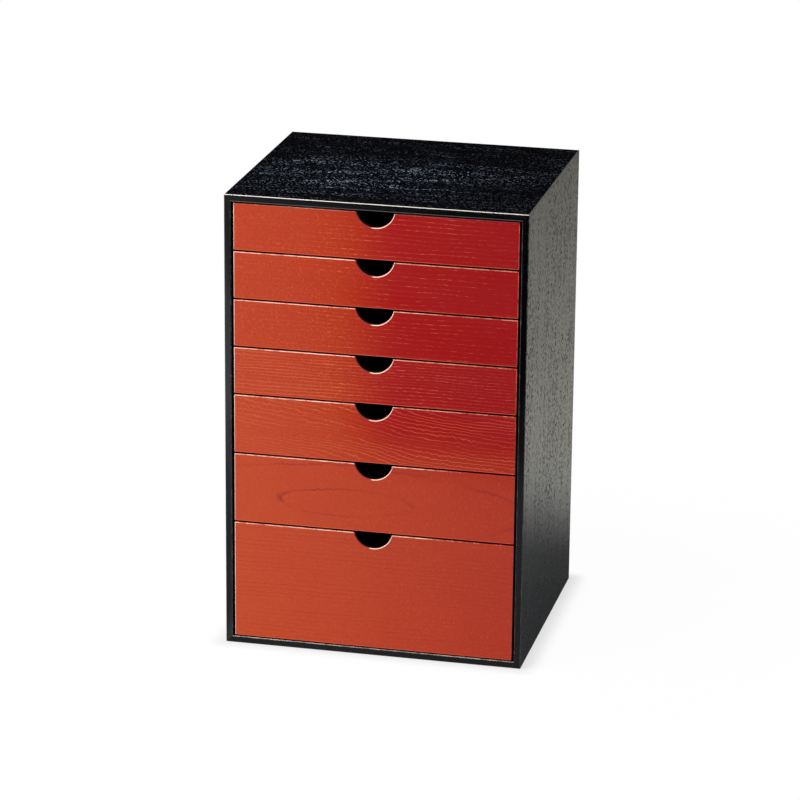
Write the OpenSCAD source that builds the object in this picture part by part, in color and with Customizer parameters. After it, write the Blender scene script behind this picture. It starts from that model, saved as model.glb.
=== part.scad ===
// Tabletop chest of seven drawers: a mitred carcass of thin lacquered boards,
// and drawers that hang on runners in the side boards. Each drawer front has
// a round finger notch in its top edge. Drawer 1 is the top one.
//
// Millimetres. The origin is on the floor under the middle of the chest, +Z is
// up, and the drawers open towards -Y.

/* [Carcass] */
// Width of the chest over its side boards
chest_w = 305; // [260:1:400]
// Depth of the chest from front edges to back
chest_d = 265; // [220:1:340]
// Height of the chest over its top and bottom boards
chest_h = 470; // [440:1:560]
// Thickness of the four outer boards
board_t = 7; // [6:0.5:10]
// Rounding of the boards' front edges and outer corners
board_round = 0.8; // [0.3:0.1:1.5]
// Thickness of the plywood back panel
back_panel_t = 3; // [2:0.5:5]
// Width of the rebate that the back panel laps into
back_lap = 4; // [2.5:0.5:5]
// Play of a plywood panel in its rebate or groove
panel_gap = 0.2; // [0.1:0.05:0.4]

/* [Mitre splines] */
// Thickness of a spline
spline_t = 1.5; // [1:0.1:2]
// Width of a spline, half of it in each board
spline_w = 5; // [3:0.5:6]
// Distance from the inner corner to a spline, along the mitre
spline_seat = 3.8; // [3.2:0.1:4.4]
// How far the splines stop behind the front edges
spline_stop = 12; // [5:1:40]

/* [Runners] */
// Height of a runner
runner_h = 7; // [5:0.5:8]
// Depth of a runner's housing in the side board
runner_housing = 2.5; // [1.5:0.5:4]
// How far a runner starts behind the back of the drawer front
runner_setback = 8; // [3:0.5:30]
// Running clearance round a runner in the groove of its drawer
runner_gap = 0.3; // [0.15:0.05:0.5]
// Play that the glue fills round a housed or pegged piece
glue_gap = 0.05; // [0.02:0.01:0.1]

/* [Fronts] */
// Height of the four upper drawer fronts
shallow_front_h = 47.5; // [42:0.5:52]
// Height of the fifth drawer front
middle_front_h = 60; // [48:0.5:75]
// Height of the sixth drawer front
deep_front_h = 71; // [55:0.5:88]
// Gap between one front and the next
front_gap = 1.8; // [1:0.1:3]
// Gap between the top board and the top front
top_gap = 1.5; // [0.8:0.1:3]
// Gap between the bottom front and the bottom board
bottom_gap = 1; // [0.6:0.1:3]
// Gap between each end of a front and the side board
end_gap = 2.3; // [1:0.1:3.5]
// How far the fronts lie behind the front edges of the boards
front_recess = 0.8; // [0:0.1:3]
// Thickness of a front
front_t = 9; // [8:0.5:12]
// Rounding of the edges round a front's face and notch
front_round = 0.8; // [0.3:0.1:1.5]
// Width of the finger notch at the front's top edge
notch_w = 38; // [30:0.5:45]
// Depth of the finger notch below the front's top edge
notch_depth = 15.5; // [10:0.5:18]

/* [Drawer boxes] */
// Room between a shut drawer and the back panel
rear_room = 9; // [3:0.5:30]
// Thickness of a drawer side
side_t = 8; // [7:0.5:10]
// How far a side lies in from the end of its front
side_inset = 0.7; // [0.3:0.1:1.5]
// How far a side's top edge lies below the top of its front
side_drop = 4; // [2:0.5:6]
// How far a side's bottom edge lies above the bottom of its front
side_rise = 1.5; // [0.5:0.5:3]
// Rounding of the top edges of the sides and the back
rim_round = 1.2; // [0.5:0.1:2]
// Depth of the rebates in a front that take the sides
front_rebate = 5; // [4:0.5:6]
// Depth of the runner groove in a side
runner_groove = 4; // [3:0.5:5]
// Thickness of a drawer back
rear_t = 7; // [6:0.5:9]
// Depth of the housings in the sides that take the back
rear_housing = 2; // [1:0.5:2.5]
// How far the back lies in from the rear ends of the sides
rear_inset = 6; // [2:0.5:15]
// Thickness of a drawer's plywood bottom panel
bottom_t = 3; // [2:0.5:4]
// Depth of the groove that holds the bottom panel
bottom_groove = 3; // [2:0.5:4]
// Height of the bottom panel above the bottom edges of the sides
bottom_rise = 4; // [3:0.5:5]

/* [Pegs] */
// Diameter of the pegs that pin the corners of a drawer
peg_d = 2; // [1.5:0.1:2.4]
// Length of a peg
peg_len = 16; // [12:0.5:22]
// Distance from a side's top edge to its upper pegs
peg_top = 6; // [4:0.5:9]
// Distance from a side's bottom edge to its lower pegs
peg_bottom = 12; // [11:0.5:13]
// Distance from the outer pegs to the second pair in a tall side
peg_pitch = 14; // [8:0.5:20]
// Height from which a side is tall and has the second pair
tall_side_h = 90; // [80:1:200]

/* [Brads] */
// Diameter of a brad's shank
brad_d = 1.2; // [1:0.1:1.4]
// Diameter of a brad's head
brad_head_d = 2.4; // [2:0.1:3]
// Thickness of a brad's head
brad_head_t = 0.6; // [0.4:0.1:0.9]
// Length of a back panel brad
back_brad_len = 12; // [9:0.5:18]
// Wood left between the point of a runner brad and the outside of the board
brad_cover = 1.5; // [1:0.1:2.5]
// Distance from each end of a runner to its brad
runner_brad_end = 30; // [12:1:60]
// Number of back panel brads along the top board, and along the bottom board
back_brads = 5; // [3:1:8]

/* [Hidden] */
$fn = 48;
// Overshoot of a cutting tool past the face that it breaks through
past = 1;

// Number of upper drawers, which have the shallow fronts
shallow_drawers = 4;

// The front heights from the top down; the bottom drawer takes what is left
opening_w = chest_w - 2 * board_t;
opening_h = chest_h - 2 * board_t;
upper_fronts = [for (i = [1:shallow_drawers]) shallow_front_h];
fixed_fronts = concat(upper_fronts, [middle_front_h, deep_front_h]);
bottom_front_h = opening_h - top_gap - bottom_gap
    - total(fixed_fronts) - len(fixed_fronts) * front_gap;
front_heights = concat(fixed_fronts, [bottom_front_h]);
drawers = len(front_heights);

// Places along the depth, from the front to the back
chest_front_y = -chest_d / 2;
chest_back_y = chest_d / 2;
shoulder_y = chest_back_y - back_panel_t;
face_y = chest_front_y + front_recess;
front_back_y = face_y + front_t;
side_front_y = front_back_y - front_rebate;
side_rear_y = shoulder_y - rear_room;
rear_back_y = side_rear_y - rear_inset;
rear_front_y = rear_back_y - rear_t;
runner_front_y = front_back_y + runner_setback;

// Places across the width, as distances from the middle
opening_x = opening_w / 2;
front_x = opening_x - end_gap;
side_x = front_x - side_inset;
side_inner_x = side_x - side_t;
runner_x = side_x - runner_groove + runner_gap;
housing_x = opening_x + runner_housing;
shoulder_x = opening_x + back_lap / 2;

// The notch is part of a circle whose centre lies above the front
notch_r = (pow(notch_w / 2, 2) + pow(notch_depth, 2)) / (2 * notch_depth);
notch_centre = notch_r - notch_depth;

lacquer_black = [0.08, 0.08, 0.09];
lacquer_red = [0.72, 0.18, 0.12];
box_black = [0.12, 0.11, 0.11];
runner_wood = [0.30, 0.22, 0.16];
spline_wood = [0.78, 0.62, 0.42];
steel = [0.70, 0.71, 0.73];

carcass_nodes = [
    "top_panel", "bottom_panel", "left_side_panel", "right_side_panel",
    "back_panel", "mitre_splines", "runner_brads", "back_panel_brads"
];

function runner_name(n) = str("runners_", n);
function drawer_name(n, part) = str("drawer_", n, "_", part);
function total(list, i = 0) = i < len(list) ? list[i] + total(list, i + 1) : 0;
function first(list, count) = [for (i = [0:1:count - 1]) list[i]];

// Heights of the pieces of drawer n above the floor
function front_h(n) = front_heights[n - 1];
function front_top(n) =
    chest_h - board_t - top_gap - total(first(front_heights, n - 1)) - (n - 1) * front_gap;
function front_bottom(n) = front_top(n) - front_h(n);
function side_top(n) = front_top(n) - side_drop;
function side_bottom(n) = front_bottom(n) + side_rise;
function side_h(n) = side_top(n) - side_bottom(n);
function runner_z(n) = (side_top(n) + side_bottom(n)) / 2;
function bottom_z(n) = side_bottom(n) + bottom_rise;
function floor_z(n) = bottom_z(n) + bottom_t;

// Heights of the pegs in a corner of drawer n
function outer_pegs(n) = [side_bottom(n) + peg_bottom, side_top(n) - peg_top];
function second_pegs(n) = side_h(n) < tall_side_h
    ? []
    : [outer_pegs(n)[0] + peg_pitch, outer_pegs(n)[1] - peg_pitch];
function peg_heights(n) = concat(outer_pegs(n), second_pegs(n));

// ---- Shapes and directions ------------------------------------------------

// Draws an outline of X and Z, from y0 back to y1
module along_y(y0, y1) {
    translate([0, y1, 0])
        rotate([90, 0, 0])
            linear_extrude(y1 - y0)
                children();
}

// Draws an outline of Y and Z, from x0 across to x1
module along_x(x0, x1) {
    translate([x0, 0, 0])
        rotate([90, 0, 90])
            linear_extrude(x1 - x0)
                children();
}

// Draws an outline of X and Y, from z0 up to z1
module along_z(z0, z1) {
    translate([0, 0, z0])
        linear_extrude(z1 - z0)
            children();
}

// A rectangle between two corners
module rect(low, high) {
    translate(low)
        square(high - low);
}

// A block between two corners
module block(low, high) {
    translate(low)
        cube(high - low);
}

// A rectangle between two corners, with all four corners rounded
module rounded_rect(low, high, r) {
    rect(low + [r, 0], high - [r, 0]);
    rect(low + [0, r], high - [0, r]);
    for (x = [low.x + r, high.x - r], y = [low.y + r, high.y - r])
        translate([x, y])
            circle(r);
}

// The same with only the corners at the low end of its first axis rounded
module left_rounded_rect(low, high, r) {
    rounded_rect(low, high, r);
    rect(low + [r, 0], high);
}

// The same with only the corners at the low end of its second axis rounded
module base_rounded_rect(low, high, r) {
    rounded_rect(low, high, r);
    rect(low + [0, r], high);
}

// The same with only the corners at the high end of its second axis rounded
module top_rounded_rect(low, high, r) {
    rounded_rect(low, high, r);
    rect(low, high - [0, r]);
}

// Repeats a piece of the left half on the right, as its mirror image
module both_sides() {
    children();
    mirror([1, 0, 0])
        children();
}

// ---- Carcass --------------------------------------------------------------

// Section of a board: its outer face at 0, its inner face at -board_t,
// rounded at the front and rebated at the back for the back panel
module board_section() {
    difference() {
        rounded_rect([chest_front_y, -board_t], [chest_back_y, 0], board_round);
        rect([shoulder_y, -board_t - past], [chest_back_y + past, back_lap - board_t]);
    }
}

// A board with both ends mitred, its outer face up and centred on the origin
module mitred_board(length) {
    intersection() {
        along_x(-length / 2, length / 2)
            board_section();
        along_y(chest_front_y, chest_back_y)
            intersection() {
                polygon([
                    [-length / 2, 0],
                    [length / 2, 0],
                    [length / 2 - board_t, -board_t],
                    [board_t - length / 2, -board_t]
                ]);
                top_rounded_rect([-length / 2, -board_t], [length / 2, 0], board_round);
            }
    }
}

// The splines, or with extra play the grooves that hold them
module splines(play = 0) {
    seat_x = opening_x + spline_seat / sqrt(2);
    seat_z = opening_h / 2 + spline_seat / sqrt(2);
    for (sx = [-1, 1], sz = [-1, 1])
        translate([sx * seat_x, 0, chest_h / 2 + sz * seat_z])
            rotate([0, 45 * sx * sz, 0])
                block(
                    [-spline_w / 2 - play, chest_front_y + spline_stop - play, -spline_t / 2 - play],
                    [spline_w / 2 + play, shoulder_y, spline_t / 2 + play]
                );
}

// Outline of a runner in Y and Z: a round nose at the front, square behind
module runner_outline(n, play = 0, rear_y = shoulder_y) {
    translate([runner_front_y + runner_h / 2, runner_z(n)])
        circle(runner_h / 2 + play);
    rect(
        [runner_front_y + runner_h / 2, runner_z(n) - runner_h / 2 - play],
        [rear_y, runner_z(n) + runner_h / 2 + play]
    );
}

// Housings for the left runners, which are open at the rebate
module runner_housings() {
    for (n = [1:drawers])
        along_x(-housing_x, -opening_x + past)
            runner_outline(n, glue_gap, shoulder_y + past);
}

// A brad with its head at the origin and its point along +X
module brad(length, play = 0) {
    rotate([0, 90, 0]) {
        cylinder(h = length + play, d = brad_d + 2 * play);
        translate([0, 0, -play])
            cylinder(h = brad_head_t + 2 * play, d = brad_head_d + 2 * play);
    }
}

// The two brads of left runner n, driven outwards through it into the board
module left_runner_brads(n, play = 0) {
    brad_len = chest_w / 2 - brad_cover - runner_x;
    for (y = [runner_front_y + runner_brad_end, shoulder_y - runner_brad_end])
        translate([-runner_x, y, runner_z(n)])
            mirror([1, 0, 0])
                brad(brad_len, play);
}

// The brads that hold the back panel: beside each gap between two fronts,
// and in a row along the top and bottom boards
module panel_brads(play = 0) {
    row_x = [for (i = [0:back_brads - 1]) ((i + 0.5) / back_brads - 0.5) * opening_w];
    row_z = [board_t - back_lap / 2, chest_h - board_t + back_lap / 2];
    gap_z = [for (n = [1:drawers - 1]) front_bottom(n) - front_gap / 2];
    spots = concat(
        [for (x = row_x, z = row_z) [x, z]],
        [for (x = [-shoulder_x, shoulder_x], z = gap_z) [x, z]]
    );
    for (spot = spots)
        translate([spot[0], chest_back_y, spot[1]])
            rotate([0, 0, -90])
                brad(back_brad_len, play);
}

module top_panel() {
    color(lacquer_black)
        difference() {
            translate([0, 0, chest_h])
                mitred_board(chest_w);
            splines(glue_gap);
            panel_brads(glue_gap);
        }
}

module bottom_panel() {
    color(lacquer_black)
        difference() {
            rotate([0, 180, 0])
                mitred_board(chest_w);
            splines(glue_gap);
            panel_brads(glue_gap);
        }
}

module left_side_panel() {
    color(lacquer_black)
        difference() {
            translate([-chest_w / 2, 0, chest_h / 2])
                rotate([0, -90, 0])
                    mitred_board(chest_h);
            runner_housings();
            splines(glue_gap);
            for (n = [1:drawers])
                left_runner_brads(n, glue_gap);
            panel_brads(glue_gap);
        }
}

module right_side_panel() {
    color(lacquer_black)
        mirror([1, 0, 0])
            left_side_panel();
}

module back_panel() {
    edge = back_lap - panel_gap;
    color(box_black)
        difference() {
            block(
                [-opening_x - edge, shoulder_y, board_t - edge],
                [opening_x + edge, chest_back_y, chest_h - board_t + edge]
            );
            panel_brads(glue_gap);
        }
}

module mitre_splines() {
    color(spline_wood)
        splines();
}

module runners(n) {
    color(runner_wood)
        both_sides()
            difference() {
                along_x(-housing_x, -runner_x)
                    runner_outline(n);
                left_runner_brads(n, glue_gap);
            }
}

module runner_brads() {
    color(steel)
        both_sides()
            for (n = [1:drawers])
                left_runner_brads(n);
}

module back_panel_brads() {
    color(steel)
        panel_brads();
}

// ---- Drawers --------------------------------------------------------------

// The pegs in the left corners of drawer n, or with play their holes
module left_pegs(n, play = 0) {
    front_peg_y = front_back_y - front_rebate / 2;
    rear_peg_y = (rear_front_y + rear_back_y) / 2;
    for (y = [front_peg_y, rear_peg_y], z = peg_heights(n))
        translate([-side_x - play, y, z])
            rotate([0, 90, 0])
                cylinder(h = peg_len + 2 * play, d = peg_d + 2 * play);
}

// Cutter for the notch of drawer n, flared where it meets both faces
module notch_cutter(n) {
    translate([0, 0, front_top(n) + notch_centre]) {
        along_y(face_y - past, front_back_y + past)
            circle(notch_r);
        translate([0, face_y, 0])
            rotate([-90, 0, 0])
                notch_flare();
        translate([0, front_back_y, 0])
            rotate([90, 0, 0])
                notch_flare();
    }
}

// The extra width of the cutter near a face, which leaves a round edge
module notch_flare() {
    rotate_extrude()
        difference() {
            rect([0, 0], [notch_r + front_round, front_round]);
            translate([notch_r + front_round, front_round])
                circle(front_round);
        }
}

module drawer_front(n) {
    color(lacquer_red)
        difference() {
            intersection() {
                along_z(front_bottom(n), front_top(n))
                    base_rounded_rect([-front_x, face_y], [front_x, front_back_y], front_round);
                along_x(-front_x, front_x)
                    left_rounded_rect(
                        [face_y, front_bottom(n)],
                        [front_back_y, front_top(n)],
                        front_round
                    );
            }
            notch_cutter(n);
            both_sides()
                block(
                    [-front_x - past, side_front_y, side_bottom(n)],
                    [-side_inner_x, front_back_y + past, side_top(n)]
                );
            bottom_slot(n, front_back_y - bottom_groove);
            both_sides()
                left_pegs(n, glue_gap);
        }
}

// Room for the bottom panel of drawer n, from y0 back past the drawer
module bottom_slot(n, y0) {
    block(
        [-side_inner_x - bottom_groove, y0, bottom_z(n)],
        [side_inner_x + bottom_groove, side_rear_y + past, floor_z(n) + panel_gap]
    );
}

module drawer_left_side(n) {
    color(box_black)
        difference() {
            along_y(side_front_y, side_rear_y)
                top_rounded_rect(
                    [-side_x, side_bottom(n)],
                    [-side_inner_x, side_top(n)],
                    rim_round
                );
            along_x(-side_x - past, -side_x + runner_groove)
                runner_outline(n, runner_gap, side_rear_y + past);
            bottom_slot(n, side_front_y - past);
            block(
                [-side_inner_x - rear_housing, rear_front_y, floor_z(n)],
                [-side_inner_x + past, rear_back_y, side_top(n) + past]
            );
            left_pegs(n, glue_gap);
        }
}

module drawer_right_side(n) {
    color(box_black)
        mirror([1, 0, 0])
            drawer_left_side(n);
}

module drawer_back(n) {
    end_x = side_inner_x + rear_housing;
    color(box_black)
        difference() {
            along_x(-end_x, end_x)
                top_rounded_rect([rear_front_y, floor_z(n)], [rear_back_y, side_top(n)], rim_round);
            both_sides()
                left_pegs(n, glue_gap);
        }
}

module drawer_bottom(n) {
    reach = bottom_groove - panel_gap;
    color(box_black)
        block(
            [-side_inner_x - reach, front_back_y - reach, bottom_z(n)],
            [side_inner_x + reach, rear_back_y, floor_z(n)]
        );
}

module drawer_pegs(n) {
    color(runner_wood)
        both_sides()
            left_pegs(n);
}

// ---- The whole chest ------------------------------------------------------

top_panel();
bottom_panel();
left_side_panel();
right_side_panel();
back_panel();
mitre_splines();
runner_brads();
back_panel_brads();
for (n = [1:drawers]) {
    runners(n);
    drawer_front(n);
    drawer_left_side(n);
    drawer_right_side(n);
    drawer_back(n);
    drawer_bottom(n);
    drawer_pegs(n);
}
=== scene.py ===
"""A small tabletop chest: a black lacquered carcass and seven red drawers.

Metres, in the frame of the CAD model: the origin is on the floor under the
middle of the chest, +Z is up, and the drawers open towards -Y.
"""

import math

import bpy
from mathutils import Matrix, Vector


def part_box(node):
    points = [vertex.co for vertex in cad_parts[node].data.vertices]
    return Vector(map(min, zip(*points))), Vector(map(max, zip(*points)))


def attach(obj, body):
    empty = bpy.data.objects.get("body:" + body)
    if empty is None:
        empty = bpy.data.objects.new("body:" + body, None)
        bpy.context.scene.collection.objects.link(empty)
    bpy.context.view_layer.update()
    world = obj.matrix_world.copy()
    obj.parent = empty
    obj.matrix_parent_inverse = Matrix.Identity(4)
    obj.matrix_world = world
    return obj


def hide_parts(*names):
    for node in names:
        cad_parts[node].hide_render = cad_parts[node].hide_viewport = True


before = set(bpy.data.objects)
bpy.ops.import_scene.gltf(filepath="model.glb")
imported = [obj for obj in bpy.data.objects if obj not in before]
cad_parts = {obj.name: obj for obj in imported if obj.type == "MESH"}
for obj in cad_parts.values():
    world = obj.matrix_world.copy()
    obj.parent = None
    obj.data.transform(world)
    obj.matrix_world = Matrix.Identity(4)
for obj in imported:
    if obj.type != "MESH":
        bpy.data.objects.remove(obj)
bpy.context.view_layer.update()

MM = 0.001
PAST = 2 * MM  # how far a cutter reaches past the wood
SAME = 0.01 * MM  # places closer than this are the same
WELD = 0.001 * MM  # and corners closer than this are joined
SMOOTH_BELOW = math.radians(35)
DRAWERS = range(1, 8)

# Carcass
WIDTH, DEPTH, HEIGHT = 305 * MM, 265 * MM, 470 * MM
BOARD = 7 * MM
ARRIS = 0.8 * MM
BACK_PANEL = 3 * MM
BACK_LAP = 4 * MM
FRONT_Y = -DEPTH / 2
SHOULDER_Y = DEPTH / 2 - BACK_PANEL

# Drawer fronts
FRONT_REBATE = 5 * MM
SIDE_INNER_X = 134.5 * MM
SIDE_DROP = 4 * MM
SIDE_RISE = 1.5 * MM
BOTTOM_GROOVE = 3 * MM
BOTTOM_RISE = 4 * MM
BOTTOM = 3 * MM
BOTTOM_PLAY = 0.2 * MM
NOTCH_WIDTH = 38 * MM
NOTCH_DEPTH = 15.5 * MM
NOTCH_CORNER = 2.5 * MM
NOTCH_SIDES = 128  # of the whole circle

# The material slots of a board, after its face's, and of a drawer front
BOARD_EDGE, BOARD_BAND = 1, 2
INSIDE, FACE, EDGE, NOTCH, UNDER, GAP = range(6)


# ---- Shader nodes -----------------------------------------------------------


class Nodes:
    """Adds nodes to one tree, and links or sets their inputs by name."""

    def __init__(self, tree):
        self.tree = tree

    def feed(self, socket, value):
        if isinstance(value, bpy.types.NodeSocket):
            self.tree.links.new(value, socket)
        else:
            socket.default_value = value

    def add(self, kind, settings=None, **inputs):
        node = self.tree.nodes.new(kind)
        for name, value in (settings or {}).items():
            setattr(node, name, value)
        for name, value in inputs.items():
            self.feed(node.inputs[name.replace("_", " ")], value)
        return node

    def math(self, operation, *values):
        node = self.add("ShaderNodeMath", {"operation": operation})
        for socket, value in zip(node.inputs, values):
            self.feed(socket, value)
        return node.outputs[0]

    def times(self, product, *values):
        """The product of some values."""
        for value in values:
            product = self.math("MULTIPLY", product, value)
        return product

    def between(self, share, start, end):
        """start where the share is 0, and end where it is 1."""
        return self.math("MULTIPLY_ADD", share, end - start, start)

    def ramp(self, value, start, end):
        """0 up to start, 1 from end on, with a smooth step between them."""
        node = self.add(
            "ShaderNodeMapRange",
            {"interpolation_type": "SMOOTHSTEP"},
            Value=value,
            From_Min=start,
            From_Max=end,
        )
        return node.outputs["Result"]

    def blend(self, factor, a, b):
        node = self.add("ShaderNodeMix", {"data_type": "RGBA"})
        for name, value in (("Factor_Float", factor), ("A_Color", a), ("B_Color", b)):
            socket = next(s for s in node.inputs if s.identifier == name)
            self.feed(socket, value)
        return next(s for s in node.outputs if s.identifier == "Result_Color")

    def point(self, x, y, z):
        return self.add("ShaderNodeCombineXYZ", X=x, Y=y, Z=z).outputs[0]

    def stretched(self, place, factors):
        """A place with each of its three distances multiplied by a factor."""
        return self.point(*(self.math("MULTIPLY", v, factor) for v, factor in zip(place, factors)))

    def noise(self, vector, detail=2.0, roughness=0.5, scale=1.0):
        node = self.add(
            "ShaderNodeTexNoise", Vector=vector, Scale=scale, Detail=detail, Roughness=roughness
        )
        return node.outputs["Fac"]

    def bump(self, height, distance):
        node = self.add("ShaderNodeBump", Height=height, Distance=distance)
        return node.outputs["Normal"]


def new_group(name, inputs, outputs):
    """A shader node group with its sockets, ready for its inner nodes."""
    group = bpy.data.node_groups.new(name, "ShaderNodeTree")
    for label, value in inputs.items():
        kind = "NodeSocketColor" if isinstance(value, tuple) else "NodeSocketFloat"
        socket = group.interface.new_socket(label, in_out="INPUT", socket_type=kind)
        socket.default_value = value
    for label, kind in outputs.items():
        group.interface.new_socket(label, in_out="OUTPUT", socket_type=kind)
    given = group.nodes.new("NodeGroupInput").outputs
    made = group.nodes.new("NodeGroupOutput").inputs
    return Nodes(group), given, made


NOISE_MIDDLE = 0.5

# How often the wood's patterns change in a metre: along the grain, across it
# and through the board
DRIFTS_PER_METRE = (7, 30, 30)
RIPPLES_PER_METRE = (260, 90, 90)
CLOUDS_PER_METRE = (6, 24, 24)
STREAKS_PER_METRE = (9, 75, 75)

# Where each pattern starts and ends in its noise, and how softly
RING_SOFTNESS = 0.3  # of the width of a ring's line
PORE_SOFTNESS = 0.08
CLOUD_STEP = (0.35, 0.65)
STREAK_STEP = (0.38, 0.62)
RING_SINK = 0.3  # how deep a ring lies, where a pore is 1 deep


def open_grain():
    """Open pored wood, read by places along the grain, across it and deep.

    The rings are cylinders round a pith that leans away from the board, so
    they show as arches where the board is cut near it and as lines elsewhere.
    """
    n, given, made = new_group(
        "Open grain",
        {
            "Along": 0.0,
            "Across": 0.0,
            "Deep": 0.0,
            "Ring Spacing": 6 * MM,
            "Ring Line": 0.3,
            "Ring Growth": 1.0,
            "Pith": 45 * MM,
            "Lean": 0.05,
            "Sway": 8 * MM,
            "Wave": 0.0,
            "Pore Length": 7 * MM,
            "Pore Width": 0.8 * MM,
            "Spread": 0.7,
            "Rowing": 0.2,
        },
        {
            "Rings": "NodeSocketFloat",
            "Pores": "NodeSocketFloat",
            "Cloud": "NodeSocketFloat",
            "Streaks": "NodeSocketFloat",
            "Height": "NodeSocketFloat",
        },
    )
    along, across, deep = given["Along"], given["Across"], given["Deep"]
    place = (along, across, deep)
    drift = n.noise(n.stretched(place, DRIFTS_PER_METRE), detail=3.0)
    drift = n.math("SUBTRACT", drift, NOISE_MIDDLE)
    ripple = n.noise(n.stretched(place, RIPPLES_PER_METRE), detail=1.0)
    ripple = n.math("SUBTRACT", ripple, NOISE_MIDDLE)
    drifted = n.math("MULTIPLY_ADD", drift, given["Sway"], across)
    waved = n.math("MULTIPLY_ADD", ripple, given["Wave"], drifted)

    depth = n.math("ADD", deep, given["Pith"])
    depth = n.math("MULTIPLY_ADD", along, given["Lean"], depth)
    squares = n.math("MULTIPLY_ADD", waved, waved, n.times(depth, depth))
    turns = n.math("DIVIDE", n.math("SQRT", squares), given["Ring Spacing"])
    phase = n.math("FRACT", n.math("POWER", turns, given["Ring Growth"]))
    line = given["Ring Line"]
    soft = n.times(line, RING_SOFTNESS)
    rings = n.times(n.ramp(phase, 0.0, soft), n.ramp(phase, line, soft))

    width = given["Pore Width"]
    pore_place = n.point(
        n.math("DIVIDE", along, given["Pore Length"]),
        n.math("DIVIDE", waved, width),
        n.math("DIVIDE", deep, width),
    )
    fewer = n.times(given["Rowing"], -1.0)
    start = n.math("MULTIPLY_ADD", rings, fewer, given["Spread"])
    end = n.math("ADD", start, PORE_SOFTNESS)
    pores = n.ramp(n.noise(pore_place, detail=1.0), start, end)
    clouds = n.noise(n.stretched(place, CLOUDS_PER_METRE))
    streaks = n.noise(n.stretched((along, drifted, deep), STREAKS_PER_METRE))
    wood = n.math("SUBTRACT", 1.0, pores)

    n.feed(made["Rings"], rings)
    n.feed(made["Pores"], pores)
    n.feed(made["Cloud"], n.ramp(clouds, *CLOUD_STEP))
    n.feed(made["Streaks"], n.ramp(streaks, *STREAK_STEP))
    n.feed(made["Height"], n.math("MULTIPLY_ADD", rings, -RING_SINK, wood))
    return n.tree


# Wear along an edge, which paints a highlight where its colour is light: broad patches broken up
# by small nicks
PATCHES_PER_METRE = 90
NICKS_PER_METRE = 900
NICK_SHARE = 0.4
UNRUBBED = 0.75  # the noise that an amount of 0 starts at
RUB_REACH = 0.6  # how far below that an amount of 1 starts
RUB_SOFTNESS = 0.2


def edge_wear_and_highlight():
    """Lacquer that turns to another colour along an edge, here more, there less: wear, and a
    painted highlight where that colour is light.
    """
    n, given, made = new_group(
        "Rubbed edge",
        {
            "X": 0.0,
            "Y": 0.0,
            "Z": 0.0,
            "Amount": 0.5,
            "Lacquer": (0.0, 0.0, 0.0, 1.0),
            "Ground": (0.5, 0.5, 0.5, 1.0),
        },
        {"Color": "NodeSocketColor", "Wear and highlight": "NodeSocketFloat"},
    )
    place = n.point(given["X"], given["Y"], given["Z"])
    patches = n.noise(place, detail=3.0, roughness=0.6, scale=PATCHES_PER_METRE)
    nicks = n.noise(place, detail=1.0, scale=NICKS_PER_METRE)
    mixed = n.math("MULTIPLY_ADD", nicks, NICK_SHARE, n.times(patches, 1 - NICK_SHARE))
    start = n.math("SUBTRACT", UNRUBBED, n.times(given["Amount"], RUB_REACH))
    wear_and_highlight = n.ramp(mixed, start, n.math("ADD", start, RUB_SOFTNESS))
    n.feed(made["Wear and highlight"], wear_and_highlight)
    n.feed(made["Color"], n.blend(wear_and_highlight, given["Lacquer"], given["Ground"]))
    return n.tree


OPEN_GRAIN = open_grain()
EDGE_WEAR_AND_HIGHLIGHT = edge_wear_and_highlight()


class Finish(Nodes):
    """A new material, with its shader's inputs and the object's coordinates."""

    def __init__(self, name):
        self.material = bpy.data.materials.new(name)
        self.material.use_nodes = True
        super().__init__(self.material.node_tree)
        self.shader = self.tree.nodes["Principled BSDF"].inputs
        self.place = self.add("ShaderNodeTexCoord").outputs["Object"]
        self.axis = self.add("ShaderNodeSeparateXYZ", Vector=self.place).outputs

    def set(self, name, value):
        """Sets one of the shader's own values, the same all over the piece."""
        self.shader[name].default_value = value

    def grain(self, axes, shift=(0.0, 0.0), **values):
        """The grain on a board: its axes along, across and through the wood."""
        along, across, deep = (self.axis[letter] for letter in axes)
        node = self.add(
            "ShaderNodeGroup",
            {"node_tree": OPEN_GRAIN},
            Along=self.math("ADD", along, shift[0]),
            Across=self.math("ADD", across, shift[1]),
            Deep=deep,
            **values,
        )
        return node.outputs

    def rub_and_highlight(self, amount, lacquer, edge_highlight):
        """Lacquer worn to another colour, a painted highlight where that colour is light, and how
        far it goes.
        """
        node = self.add(
            "ShaderNodeGroup",
            {"node_tree": EDGE_WEAR_AND_HIGHLIGHT},
            X=self.axis["X"],
            Y=self.axis["Y"],
            Z=self.axis["Z"],
            Amount=amount,
            Lacquer=lacquer,
            Ground=edge_highlight,
        )
        return node.outputs["Color"], node.outputs["Wear and highlight"]

    def wear(self, color, roughness, height, depth):
        """Feeds the shader and gives the finished material."""
        self.feed(self.shader["Base Color"], color)
        self.feed(self.shader["Roughness"], roughness)
        self.feed(self.shader["Normal"], self.bump(height, depth))
        return self.material
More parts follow.
